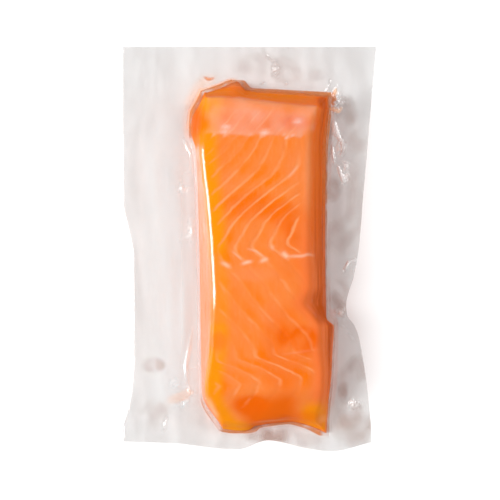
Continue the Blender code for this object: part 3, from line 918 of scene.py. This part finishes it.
@dataclass
class SalmonPortion:
    """The portion of fish: a cut face with seams of muscle, walls that spread to the foot, a flat underside."""

    plan: FishPlan
    face_across: int = 118
    face_along: int = 340
    wall_rings: int = 16
    shoulder_rings: int = 6
    seam_depth: float = 0.00016
    seam_width: float = 0.13
    fat_depth: float = 0.00015
    waviness: float = 0.00030
    wall_relief: float = 0.00035
    corners: tuple[Place, ...] = ((-0.0111, -0.0756), (-0.0187, 0.0660), (0.0326, -0.0776), (0.0334, 0.0648))
    corner_passes: int = 8
    corner_reach: float = 0.0085
    spine: Place = (-0.052, 0.044)
    spine_step: float = 0.004
    clearness: Line = Line(
        (-0.0660, 0.0), (-0.0600, 0.55), (-0.0520, 0.85), (-0.0440, 0.80), (-0.0400, 0.45),
        (-0.0300, 0.45), (-0.0120, 0.55), (-0.0070, 0.25), (-0.0040, 0.80), (0.0080, 1.1),
        (0.0240, 1.1), (0.0320, 0.70), (0.0400, 0.45), (0.0500, 0.45), (0.0600, 0.30),
    )  # fmt: skip

    def rings(self) -> list[Ring]:
        """The rings from the foot in to the cut face."""
        plan = self.plan
        under = [Ring(out=-plan.undercut), Ring(drop=-0.4 * plan.foot_height, out=-0.3 * plan.undercut)]
        return under + plan.wall(self.wall_rings, self.shoulder_rings, 0.0)

    def build(self) -> Mesh:
        """Shape the fish.

        Returns:
            A mesh still open underneath, with the seams and shades kept on its vertices.
        """
        rings = self.rings()
        grid = Grid(rings, self.face_across, self.face_along, self.plan, 0.0)
        x, y = grid.x, grid.y
        turns, strength = self.plan.turns(x, y), self.strength(x, y)
        on_face = stepped(grid.inside, len(rings) - 6.0, len(rings) + 5.0)
        off_seam = np.abs((turns + 0.10 * soft(x, y, 0.006, 0.006, 3.0) + 0.5) % 1.0 - 0.5)
        groove = np.exp(-((off_seam / self.seam_width) ** 2)) * (0.35 + 0.65 * strength)
        swell = soft(x, y, 0.011, 0.018, 7.0) + 0.5 * soft(x, y, 0.005, 0.006, 9.0)
        fat = held(laid(FAT_MARKS, x, y))
        relief = self.waviness * swell - self.seam_depth * groove - self.fat_depth * fat
        masks = {"seam_turns": turns, "seam_strength": strength * on_face, "cut_face": on_face, "fat_marks": fat}
        mesh = grid.mesh(self.plan.floor + grid.z + on_face * relief, masks | self.shades(grid, on_face))
        self._soften(mesh)
        self._roughen(mesh)
        return mesh

    def strength(self, x: Field, y: Field) -> Field:
        """How clearly each seam shows: most above the lateral line, least near the left rim and the top."""
        inset = stepped(x - LEFT.rim.at(y), 0.0010, 0.0055) * stepped(RIGHT.rim.at(y) - x, 0.0020, 0.0055)
        return self.clearness.at(self.plan.along(x, y)) * inset

    def shades(self, grid: Grid, on_face: Field) -> dict[str, Field]:
        """Where the flesh is deeper, paler, amber, rose, darker red or brown, and where shade is painted on it.

        Args:
            grid: the surface of the fish.
            on_face: where its cut face is.

        Returns:
            The masks, by the name that the finish of the flesh reads.
        """
        x, y, inside, rims = grid.x, grid.y, grid.inside, len(grid.rings)
        from_left, to_right, to_end = x - LEFT.rim.at(y), RIGHT.rim.at(y) - x, y - BOTTOM.rim.at(x)
        # Painted shade just under the right rim, on the side turned from the light.
        shade_under_rim = 0.70 * stepped(to_right, 0.0005, -0.0015) * stepped(y, -0.0040, 0.0120)
        top_wall = 0.6 * stepped(grid.rows - 1 - grid.row, rims - 5.5, rims - 6.5)
        left_rim = stepped(inside, rims - 8.0, rims - 6.0) * stepped(from_left, 0.0095, 0.0040)
        left_rim *= 1 - 0.5 * window(y, -0.0330, -0.0290, -0.0040, 0.0020)
        lower_wall = 0.9 * window(inside, 5.0, 7.0, 10.0, 13.0) * stepped(y, -0.0690, -0.0705)
        # Painted contact shade along the foot at both ends, kept with the brown marks.
        foot = stepped(inside, 6.0, 3.0) * (0.65 + 0.6 * soft(x, y, 0.003, 0.003, 41.0))
        foot *= np.maximum(at_lower_end(y), stepped(y, 0.0600, 0.0630))
        foot *= 1 - 0.6 * at_lower_corners(x) * stepped(y, 0.0, -0.01)
        # The sloping lower end is darker and redder: partly the flesh's own tone, partly painted shade.
        end = stepped(to_end, 0.0140, 0.0060) * stepped(from_left, 0.0070, 0.0150)
        return {
            "left_edge": held(left_rim + laid(AMBER_PATCHES, x, y) + lower_wall),
            "right_edge": stepped(to_right, 0.0080, 0.0010) * window(y, -0.0660, -0.0600, 0.0, 0.030),
            "end_slope_shade": end * (1 - 0.85 * stepped(x, 0.0150, 0.0230)),
            "deep_patches_and_shade": held(laid(DEEP_PATCHES, x, y) + shade_under_rim + top_wall),
            "pale_patches": held(laid(PALE_PATCHES, x, y)) * on_face,
            # Painted shade down the right wall, which is turned from the light.
            "right_wall_shade": stepped(to_right, -0.0010, -0.0040) * (1 - on_face) * (1 - stepped(y, -0.0570, -0.0660)),
            "brown_marks_and_foot_shade": held(laid(BROWN_PATCHES, x, y) + foot),
        }

    def _soften(self, mesh: Mesh) -> None:
        """Soften the upright corners, and keep the rim of the underside level.

        Args:
            mesh: the fish, still open underneath.
        """
        away = {vert: min(math.dist(vert.co.xy, corner) for corner in self.corners) for vert in mesh.verts}
        for i in range(self.corner_passes):
            reach = self.corner_reach * (1 - i / self.corner_passes)
            smooth(mesh, [vert for vert, distance in away.items() if distance < reach])
        for vert in mesh.verts:
            if vert.is_boundary:
                vert.co.z = self.plan.floor

    def _roughen(self, mesh: Mesh) -> None:
        """Give the walls the uneven layers of cut flesh.

        Args:
            mesh: the fish, still open underneath.
        """
        face = mesh.verts.layers.float["cut_face"]
        mesh.normal_update()
        for vert in mesh.verts:
            wall = (1 - vert[face]) * (1 - abs(vert.normal.z))
            wall *= min(1.0, max(0.0, vert.co.z - self.plan.foot_height) / 0.003)
            if wall > 0:
                layers = noise.noise((vert.co.x * 160, vert.co.y * 45, vert.co.z * 520))
                lumps = noise.noise((vert.co.x * 210 + 5, vert.co.y * 210, vert.co.z * 210))
                vert.co += vert.normal * (self.wall_relief * wall * (layers + 0.6 * lumps))

    def _close(self, mesh: Mesh) -> None:
        """Close the underside, from its rim in to points along its middle.

        Args:
            mesh: the fish, still open underneath.
        """
        rim = [edge for edge in mesh.edges if edge.is_boundary]
        grown = bmesh.ops.extrude_edge_only(mesh, edges=rim)["geom"]
        inner = [part for part in grown if isinstance(part, bmesh.types.BMVert)]
        for vert in inner:
            y = round(float(np.clip(vert.co.y, *self.spine)) / self.spine_step) * self.spine_step
            vert.co = (float(LEFT.foot.at(y) + RIGHT.foot.at(y)) / 2, y, self.plan.floor)
        bmesh.ops.remove_doubles(mesh, verts=inner, dist=1e-6)
        bmesh.ops.recalc_face_normals(mesh, faces=mesh.faces)
        if mesh.calc_volume(signed=True) < 0:
            bmesh.ops.reverse_faces(mesh, faces=mesh.faces)

    def add(self, finish: SalmonFlesh) -> tuple[bpy.types.Object, BVHTree]:
        """Put the fish in the pack.

        Args:
            finish: the flesh.

        Returns:
            The piece, and its surface for the film to lie on.
        """
        mesh = self.build()
        surface = BVHTree.FromBMesh(mesh)
        self._close(mesh)
        piece = piece_from("salmon_portion", mesh, finish.material())
        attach(piece, PORTION_BODY)
        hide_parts("salmon_fillet")
        return piece, surface


class Web(Enum):
    """The two webs of film that the pouch is made of."""

    LOWER = "lower_web"
    UPPER = "upper_web"


MARGIN_SWELLS = patches(
    (0.0420, -0.0250, 0.0090, 0.0080, 0.0020), (0.0500, -0.0560, 0.0120, 0.0130, 0.0016),
    (0.0500, 0.0380, 0.0110, 0.0160, 0.0022), (0.0560, 0.0780, 0.0140, 0.0110, 0.0014),
    (-0.0500, -0.0240, 0.0110, 0.0240, 0.0030), (-0.0560, 0.0420, 0.0120, 0.0160, 0.0012),
    (-0.0460, -0.0780, 0.0120, 0.0080, 0.0020), (0.0090, -0.0840, 0.0090, 0.0070, 0.0016),
    (-0.0200, 0.0860, 0.0180, 0.0090, 0.0010),
)  # fmt: skip
# Each crease's strength is how white it shows, which partly paints glints of light on it.
CREASES = (
    Stroke(0.0005, 0.5, (0.0057, 0.0850), (0.0069, 0.0815), (0.0105, 0.0780), (0.0110, 0.0722)),
    Stroke(0.00065, 1.0, (0.0349, 0.0551), (0.0372, 0.0475), (0.0389, 0.0441), (0.0401, 0.0396)),
    Stroke(0.00055, 0.8, (0.0346, 0.0522), (0.0356, 0.0490), (0.0372, 0.0470)),
    Stroke(0.00055, 0.8, (0.0346, 0.0440), (0.0349, 0.0403), (0.0357, 0.0352)),
    Stroke(0.00065, 1.0, (0.0360, 0.0352), (0.0372, 0.0344), (0.0384, 0.0309), (0.0400, 0.0266)),
    Stroke(0.0007, 1.0, (0.0395, -0.0095), (0.0418, -0.0055), (0.0455, -0.0042), steepness=0.75),
    Stroke(0.0004, 0.8, (-0.0285, 0.0475), (-0.0244, 0.0395), (-0.0238, 0.0300)),
    Stroke(0.0006, 0.45, (-0.0240, -0.0330), (-0.0252, -0.0405), (-0.0268, -0.0490), (-0.0262, -0.0575)),
    Stroke(0.0004, 0.7, (-0.0262, -0.0570), (-0.0250, -0.0598), (-0.0225, -0.0612)),
    Stroke(0.0006, 0.6, (-0.0345, -0.0700), (-0.0360, -0.0765)),
    Stroke(0.0004, 0.6, (-0.0250, -0.0625), (-0.0285, -0.0665)),
    Stroke(0.0008, 0.8, (0.0420, -0.0640), (0.0465, -0.0660)),
    Stroke(0.0005, 0.7, (0.0335, -0.0275), (0.0375, -0.0262), (0.0410, -0.0272)),
    Stroke(0.0007, 0.3, (0.0345, -0.0300), (0.0385, -0.0320), (0.0440, -0.0380)),
    Stroke(0.0004, 1.0, (0.0322, 0.0588), (0.0353, 0.0585), (0.0375, 0.0576), (0.0386, 0.0590)),
    Stroke(0.0005, 1.0, (0.0350, 0.0640), (0.0360, 0.0665), (0.0364, 0.0690)),
    Stroke(0.0004, 0.8, (0.0315, 0.0655), (0.0330, 0.0675), (0.0338, 0.0710)),
    Stroke(0.0004, 0.7, (-0.0240, 0.0110), (-0.0238, 0.0060), (-0.0290, 0.0045)),
    Stroke(0.0006, 0.7, (-0.0290, 0.0265), (-0.0270, 0.0240)),
    Stroke(0.0005, 0.3, (-0.0320, -0.0660), (-0.0210, -0.0595)),
    Stroke(0.0006, 0.6, (0.0305, -0.0755), (0.0332, -0.0790)),
    Stroke(0.0004, 0.7, (0.0050, 0.0690), (0.0065, 0.0705)),
    Stroke(0.0004, 0.6, (0.0150, 0.0690), (0.0160, 0.0705)),
)
CRINKLES = (
    Crinkle(0.0382, 0.0428, 0.0020, 0.0036, 0.00024, grain=0.0015),
    Crinkle(0.0404, 0.0352, 0.0018, 0.0014, 0.00022),
    Crinkle(0.0402, 0.0300, 0.0016, 0.0030, 0.00022),
    Crinkle(0.0360, 0.0612, 0.0036, 0.0036, 0.00026, grain=0.0016),
    Crinkle(-0.0272, 0.0250, 0.0022, 0.0012, 0.00018, white=0.6),
    Crinkle(-0.0243, 0.0080, 0.0016, 0.0040, 0.00018, white=0.6),
    Crinkle(0.0382, -0.0268, 0.0030, 0.0016, 0.00020, grain=0.0016),
    Crinkle(0.0440, -0.0650, 0.0026, 0.0020, 0.00020, grain=0.0016),
    Crinkle(-0.0318, -0.0565, 0.0022, 0.0018, 0.00012, grain=0.0016, white=0.35),
    Crinkle(-0.0262, -0.0640, 0.0016, 0.0012, 0.00012, white=0.4),
    Crinkle(0.0108, 0.0755, 0.0012, 0.0030, 0.00016),
    Crinkle(0.0470, -0.0080, 0.0030, 0.0026, 0.00018, grain=0.0016),
)
# A painted peach glow and reflection of the fish on the film beside it and on creases near it.
FISH_GLOW_MARKS = (
    Stroke(0.0024, 0.38, (-0.0147, 0.0722), (-0.0195, 0.0695), (-0.0238, 0.0622), (-0.0258, 0.0540)),
    Stroke(0.0012, 0.35, (-0.0262, 0.0545), (-0.0262, 0.0500), (-0.0255, 0.0470)),
    Stroke(0.0005, 0.9, (0.0326, 0.0590), (0.0353, 0.0587), (0.0375, 0.0578), (0.0386, 0.0590)),
    Stroke(0.0009, 0.5, (0.0318, 0.0612), (0.0340, 0.0640), (0.0352, 0.0612)),
    Stroke(0.0006, 0.8, (0.0355, 0.0645), (0.0362, 0.0668)),
    Stroke(0.0008, 0.8, (0.0328, -0.0690), (0.0312, -0.0735), (0.0328, -0.0757)),
    Stroke(0.0005, 0.5, (0.0318, -0.0318), (0.0345, -0.0322), (0.0370, -0.0332)),
    Stroke(0.0014, 0.25, (-0.0345, -0.0640), (-0.0290, -0.0620), (-0.0245, -0.0598)),
)
# Juice at the top corners of the fish, partly painted contact shadow.
JUICE_AND_SHADE_MARKS = (
    Stroke(0.0005, 0.6, (-0.0190, 0.0722), (-0.0172, 0.0712), (-0.0150, 0.0716)),
    Stroke(0.0007, 0.35, (0.0318, 0.0652), (0.0345, 0.0650), (0.0356, 0.0630), (0.0345, 0.0600)),
)
# Painted shade in brownish blotches on the margins, most on the right where the fish shades the film, with a painted
# shadow strip beside its upper right wall.
SHADE_BLOTCHES = patches(
    (0.0405, 0.0575, 0.0045, 0.0060, 0.50), (0.0330, 0.0490, 0.0014, 0.0110, 1.20),
    (0.0352, 0.0248, 0.0030, 0.0045, 0.50), (0.0450, 0.0450, 0.0040, 0.0050, 0.22),
    (0.0440, 0.0180, 0.0040, 0.0160, 0.22), (0.0380, 0.0060, 0.0050, 0.0080, 0.22),
    (0.0376, -0.0205, 0.0040, 0.0065, 0.55), (0.0389, -0.0575, 0.0022, 0.0065, 0.50),
    (0.0455, -0.0500, 0.0055, 0.0050, 0.35), (0.0440, -0.0740, 0.0085, 0.0080, 0.60),
    (0.0090, -0.0780, 0.0100, 0.0032, 0.80), (0.0220, -0.0800, 0.0080, 0.0030, 0.20),
    (-0.0405, -0.0487, 0.0050, 0.0030, 0.22), (-0.0400, -0.0690, 0.0060, 0.0060, 0.14),
    (0.0180, 0.0730, 0.0160, 0.0035, 0.14), (0.0065, 0.0775, 0.0140, 0.0048, 0.16),
)  # fmt: skip
# Painted glints along the lip of the milky band.
PAINTED_GLINTS = patches(
    (-0.0097, 0.0500, 0.0016, 0.0010, 0.5), (0.0061, 0.0478, 0.0016, 0.0010, 0.5),
    (0.0198, 0.0525, 0.0016, 0.0010, 0.5),
)  # fmt: skip


@dataclass
class FilmWeb:
    """One web of film: flat under the fish, or drawn down over it, with wavy creased margins."""

    web: Web
    plan: FishPlan
    across: int = 36
    along: int = 110
    margin_rings: int = 52
    skirt_rings: int = 4
    wall_rings: int = 11
    shoulder_rings: int = 5
    film: float = 0.00012
    hollow: float = 0.0050
    touch_down: float = 0.0010
    standoff: float = 0.00025
    clearance: float = 0.00022
    ripple: float = 0.00045
    gap: float = 0.0004
    slack: float = 0.0002
    smoothings: int = 3
    band_start: float = 0.0472
    band_lean: float = 0.03
    scallop: float = 0.0014

    @property
    def foot(self) -> float:
        """How many rings in from the edge of the pouch the foot of the fish is."""
        return float(self.margin_rings + self.skirt_rings)

    @property
    def rim(self) -> float:
        """How many rings in the rim of the cut face is."""
        return self.foot + self.wall_rings + self.shoulder_rings

    def rings(self) -> list[Ring]:
        """The rings of the web.

        Returns:
            The rings from the edge of the pouch in to the top of the fish.
        """
        margin = [Ring(margin=1 - i / self.margin_rings, out=self.touch_down) for i in range(self.margin_rings)]
        skirt = []
        for i in range(self.skirt_rings):
            t = i / self.skirt_rings
            out = self.touch_down * (1 - t) + self.standoff * t
            skirt.append(Ring(out=out, drop=-self.plan.foot_height * t**2))
        return margin + skirt + self.plan.wall(self.wall_rings, self.shoulder_rings, self.standoff)

    def swells(self, x: Field, y: Field) -> Field:
        """How high both webs stand in the margin.

        Args:
            x: places across.
            y: places along.

        Returns:
            The height of the long swells and the ripples at each place.
        """
        lift = sum(swell.strength * swell.dome(x, y) for swell in MARGIN_SWELLS)
        on_left = stepped(x, -0.016, -0.026)
        lengthwise = soft(x, y, 0.0042, 0.030, 11.0)
        blotches = soft(x, y, 0.0075, 0.010, 13.0)
        return lift + self.ripple * (1 + on_left * lengthwise + (1 - on_left) * blotches)

    def creases(self, x: Field, y: Field) -> tuple[Field, Field]:
        """The creases and crushed patches of the upper web.

        Args:
            x: places across.
            y: places along.

        Returns:
            How far they lift it off the lower web, and how white crushing makes it, from 0 to 1; the white partly
            paints glints of light.
        """
        lift, white = np.zeros(x.shape), np.zeros(x.shape)
        for crease in CREASES:
            lift += crease.height * crease.near(x, y)
            white = np.maximum(white, crease.share(x, y))
        for patch in CRINKLES:
            here = patch.dome(x, y)
            folds = 1 - 2 * np.abs(soft(x, y, patch.grain, patch.grain, 17.0))
            lift += patch.strength * here * folds
            white = np.maximum(white, patch.white * here * stepped(folds, 0.1, 0.9))
        return np.maximum(lift, 0.0), white

    def build(self, fish: BVHTree) -> Mesh:
        """Shape the web.

        Args:
            fish: the surface of the fish.

        Returns:
            An open mesh, the lower side of the film.
        """
        grid = Grid(self.rings(), self.across, self.along, self.plan, self.hollow)
        x, y = grid.x, grid.y
        free = stepped(grid.inside, self.foot + 1.0, self.margin_rings - 6.0)
        lift = self.swells(x, y) * free
        if self.web is Web.LOWER:
            return grid.mesh(lift, {"wetted": self.over_fish(grid), "juice_and_shade": self.juice_and_shade_line(grid)})
        raised, white = self.creases(x, y)
        lift += self.gap + raised * free
        z = lift + np.maximum(0.0, grid.z) + self.slack * stepped(grid.z, 0.0, 0.004)
        mesh = grid.mesh(z, self.masks(grid) | {"crushed": white * free})
        body = [vert for vert in mesh.verts if vert.co.z > 0.0015 and not vert.is_boundary]
        for _ in range(self.smoothings):
            smooth(mesh, body)
            self._keep_off(mesh, fish)
        return mesh

    def over_fish(self, grid: Grid) -> Field:
        """1 where the film lies on the fish and 0 in the margins."""
        return stepped(grid.inside, self.foot - 0.5, self.foot + 1.5)

    def juice_and_shade_line(self, grid: Grid) -> Field:
        """The juice that has gathered between the webs along the foot of the fish, partly painted contact shadow in the
        gap between fish and film.

        Args:
            grid: the web's surface.

        Returns:
            How much of it there is, from 0 to 1.
        """
        x, y = grid.x, grid.y
        lower = at_lower_end(y)
        upper = stepped(y, 0.0620, 0.0645) * stepped(x, -0.0060, -0.0020)
        on_right = stepped(x, 0.0200, 0.0280) * (1 - lower) * (0.6 + 1.1 * stepped(y, 0.0, 0.0300))
        on_flap = stepped(x, -0.0020, -0.0060) * stepped(y, 0.0440, 0.0500)
        patchy = np.clip(0.8 + 0.8 * soft(x, y, 0.0040, 0.0040, 33.0), 0.35, 1.0)
        lower *= 1 - 0.7 * at_lower_corners(x)
        shade = held(0.75 * lower + 0.75 * upper + 0.30 * on_right + 0.70 * on_flap)
        return stepped(grid.inside, self.foot - 3.5, self.foot - 2.0) * patchy * shade

    def top_band(self, grid: Grid) -> tuple[Field, Field]:
        """The milky band over the top end of the fish, scalloped by the seams under its edge: partly milky film, partly
        a painted reflection of light.

        Args:
            grid: the web's surface.

        Returns:
            Where the band is, and how milky it is, with the painted highlight on its lip and painted glints.
        """
        x, y = grid.x, grid.y
        off_seam = (self.plan.turns(x, y) + 0.5) % 1.0 - 0.5
        uneven = np.clip(0.55 + 1.2 * soft(x, y, 0.007, 0.5, 27.0), 0.0, 1.3)
        scallops = self.scallop * uneven * np.exp(-((off_seam / 0.20) ** 2))
        over = y - (self.band_start - self.band_lean * x - scallops + 0.0004 * soft(x, y, 0.004, 0.004, 21.0))
        reach = stepped(x, 0.0280, 0.0270) * (1 - stepped(x, 0.020, 0.026) * stepped(y, 0.0505, 0.0470))
        band = held(over / 0.0005 + 0.5) * reach
        # The lip and the glints are painted highlights.
        lip_highlight = np.exp(-(((over - 0.0002) / 0.0005) ** 2)) * reach * stepped(soft(x, y, 0.005, 0.005, 23.0), -0.3, 0.3)
        cloudy = 0.12 - 0.02 * stepped(x, 0.0, 0.018) - 0.06 * stepped(x, -0.0090, -0.0150)
        cloudy += 0.13 * soft(x, y, 0.006, 0.006, 25.0)
        glints = sum(glint.strength * glint.dome(x, y) for glint in PAINTED_GLINTS)
        return band, held(band * cloudy + 0.4 * lip_highlight + glints)

    def bounce_cooling(self, grid: Grid, fish_glow: Field) -> Field:
        """The painted cool tint over the left margin, which cancels the warm light bounced from the fish.

        Args:
            grid: the web's surface.
            fish_glow: the painted peach glow round the fish.

        Returns:
            How strongly the tint shows: not at all on the fish or on its painted glow.
        """
        x, y = grid.x, grid.y
        bounce_cooled = window(x, -0.0470, -0.0270, -0.0200, -0.0160) * window(y, -0.0740, -0.0480, 0.0300, 0.0620)
        return bounce_cooled * stepped(grid.inside, self.foot - 1.5, self.foot - 4.0) * stepped(fish_glow, 0.1, 0.0)

    def torn(self, x: Field, y: Field) -> Field:
        """Where the wet line along the left foot of the fish is broken.

        Args:
            x: places across.
            y: places along.

        Returns:
            How far the film has come off the foot there, from 0 to 1.
        """
        bright = window(y, 0.0280, 0.0300, 0.0440, 0.0480) * stepped(x, -0.0160, -0.0190)
        shreds = np.maximum(bright, 0.6 * stepped(soft(x, y, 0.004, 0.006, 31.0), 0.15, 0.40))
        return shreds * stepped(x, -0.0140, -0.0180) * window(y, -0.0600, -0.0560, 0.0450, 0.0490)

    def masks(self, grid: Grid) -> dict[str, Field]:
        """Where the upper web is off the fish, wetted or marked, and where light and shade are painted on it.

        Args:
            grid: the web's surface.

        Returns:
            The masks, by the name that the finish of the film reads.
        """
        x, y, inside, column, foot, rim = grid.x, grid.y, grid.inside, grid.column, self.foot, self.rim
        on_face = stepped(column, rim - 3.0, rim - 1.0) * stepped(grid.from_end, rim - 5.0, rim - 4.0)
        on_face = on_face * stepped(grid.columns - 1 - column, rim - 5.0, rim - 3.5)
        on_wall = window(y, -0.0735, -0.0700, 0.0400, 0.0440) * (1 - 0.4 * stepped(y, -0.0600, -0.0640))
        on_wall *= window(column, foot - 2.0, foot + 1.0, rim - 3.0, rim - 1.0)
        glare = window(column, rim - 3.5, rim - 2.5, rim - 1.0, rim - 0.2) * window(y, -0.0260, -0.0200, 0.0410, 0.0440)
        band, milky_sheen = self.top_band(grid)
        loose = np.maximum(np.maximum(band * stepped(inside, rim, rim + 2.0) * 0.5, on_wall * 0.25), glare)
        over_fish = self.over_fish(grid)
        skirt = window(inside, foot - 5.0, foot - 4.0, foot + 1.0, foot + 3.0)
        # A painted peach glow of the fish round its edges and its flap.
        fish_glow = laid(FISH_GLOW_MARKS, x, y)
        flap_glow = window(inside, foot - 6.0, foot - 5.0, foot, foot + 1.0)
        flap_glow *= 0.55 * stepped(x, -0.0040, -0.0080) * stepped(y, 0.0480, 0.0540)
        juice_shade = 0.4 * self.juice_and_shade_line(grid) * stepped(inside, foot + 4.0, foot + 2.5)
        # Painted shade in blotches.
        shade_blotches = laid(SHADE_BLOTCHES, x, y) * np.clip(0.7 + 1.2 * soft(x, y, 0.0052, 0.0064, 29.0), 0.0, 1.5)
        return {
            "band_milk_and_sheen": on_face * milky_sheen,
            # Milk down the left wall, partly a painted reflection of light, stronger towards the top.
            "wall_milk_and_sheen": on_wall * (0.55 + 0.53 * stepped(y, -0.0200, 0.0200)),
            "fish_glow": held(fish_glow + flap_glow) * (1 - over_fish),
            "wetted": np.maximum(over_fish * (1 - loose), skirt * (1 - self.torn(x, y))),
            "painted_shading": held(shade_blotches) * (1 - over_fish),
            "bounce_cooled": self.bounce_cooling(grid, fish_glow),
            "juice_and_shade": held(laid(JUICE_AND_SHADE_MARKS, x, y) * (1 - over_fish) + juice_shade),
        }

    def _keep_off(self, mesh: Mesh, fish: BVHTree) -> None:
        """Lift the film to where it clears the fish.

        Args:
            mesh: the web.
            fish: the surface of the fish.
        """
        for vert in mesh.verts:
            place, normal, _, _ = fish.ray_cast(Vector((vert.co.x, vert.co.y, 0.05)), Vector((0.0, 0.0, -1.0)))
            if place is not None:
                vert.co.z = max(vert.co.z, place.z + self.clearance / max(normal.z, 0.3))

    def add(self, finish: ClearFilm, fish: BVHTree, node: str) -> bpy.types.Object:
        """Put the web in the pack.

        Args:
            finish: the film.
            fish: the surface of the fish.
            node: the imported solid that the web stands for.

        Returns:
            The piece.
        """
        name = self.web.value
        piece = piece_from(name, self.build(fish), finish.material(name + "_film", self.web is Web.UPPER))
        wall = piece.modifiers.new("film", "SOLIDIFY")
        wall.thickness = self.film
        wall.offset = 1.0
        piece.visible_shadow = False
        piece.visible_diffuse = False
        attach(piece, PORTION_BODY)
        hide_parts(node)
        return piece


@dataclass
class Studio:
    """A white table under a large soft light from the upper left, seen from straight above."""

    camera_height: float = 1.0
    frame_width: float = 0.210
    sensor: float = 36.0
    middle: Place = (0.0002, -0.0004)
    table_size: float = 1.6
    table_drop: float = 0.0002
    key_place: Triple = (-0.80, -0.06, 0.78)
    key_size: Place = (0.40, 0.50)
    key_power: float = 9.2
    glint_place: Triple = (0.66, 0.34, 0.88)
    glint_size: Place = (0.24, 0.24)
    glint_power: float = 2.6
    sky: float = 0.58

    def set_camera(self) -> None:
        """Hang the camera over the pack."""
        data = bpy.data.cameras.new("camera")
        data.sensor_width = self.sensor
        data.lens = self.sensor * self.camera_height / self.frame_width
        data.clip_start = 0.01
        camera = bpy.data.objects.new("camera", data)
        camera.location = (*self.middle, self.camera_height)
        bpy.context.scene.collection.objects.link(camera)
        bpy.context.scene.camera = camera

    def lay_table(self, finish: PaleTable) -> None:
        """Put the table under the pack.

        Args:
            finish: the white of the table.
        """
        mesh = bmesh.new()
        bmesh.ops.create_grid(mesh, x_segments=8, y_segments=8, size=self.table_size / 2)
        bmesh.ops.translate(mesh, verts=mesh.verts, vec=(0.0, 0.0, -self.table_drop))
        piece_from("table", mesh, finish.material())

    def hang_light(self, name: str, place: Triple, size: Place, power: float) -> None:
        """Add a soft light that points at the pack.

        Args:
            name: the light's name.
            place: where it hangs.
            size: its width and height.
            power: how strong it is, in watts.
        """
        data = bpy.data.lights.new(name, "AREA")
        data.shape = "RECTANGLE"
        data.size, data.size_y = size
        data.energy = power
        light = bpy.data.objects.new(name, data)
        light.location = place
        light.rotation_euler = (-Vector(place)).to_track_quat("-Z", "Y").to_euler()
        bpy.context.scene.collection.objects.link(light)

    def light(self) -> None:
        """Set the lights and the pale room."""
        self.hang_light("key", self.key_place, self.key_size, self.key_power)
        self.hang_light("glints", self.glint_place, self.glint_size, self.glint_power)
        world = bpy.data.worlds.new("room")
        world.use_nodes = True
        background = world.node_tree.nodes["Background"]
        background.inputs["Color"].default_value = (1.0, 1.0, 1.0, 1.0)
        background.inputs["Strength"].default_value = self.sky
        bpy.context.scene.world = world
        bpy.context.scene.view_settings.view_transform = "Standard"


def main() -> None:
    """Build the pack, its table and its lights."""
    logging.basicConfig(level=logging.INFO, format="%(name)s: %(message)s")
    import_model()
    studio = Studio()
    studio.set_camera()
    mottle = mottle_group()
    plan = FishPlan()
    fish, surface = SalmonPortion(plan).add(SalmonFlesh(mottle))
    log.info("%s: %d faces", fish.name, len(fish.data.polygons))
    film = ClearFilm(mottle)
    for web, node in ((Web.LOWER, "lower_film"), (Web.UPPER, "upper_film")):
        piece = FilmWeb(web, plan).add(film, surface, node)
        log.info("%s: %d faces", piece.name, len(piece.data.polygons))
    studio.lay_table(PaleTable(mottle))
    studio.light()
    bpy.context.view_layer.update()


if __name__ == "__main__":
    main()
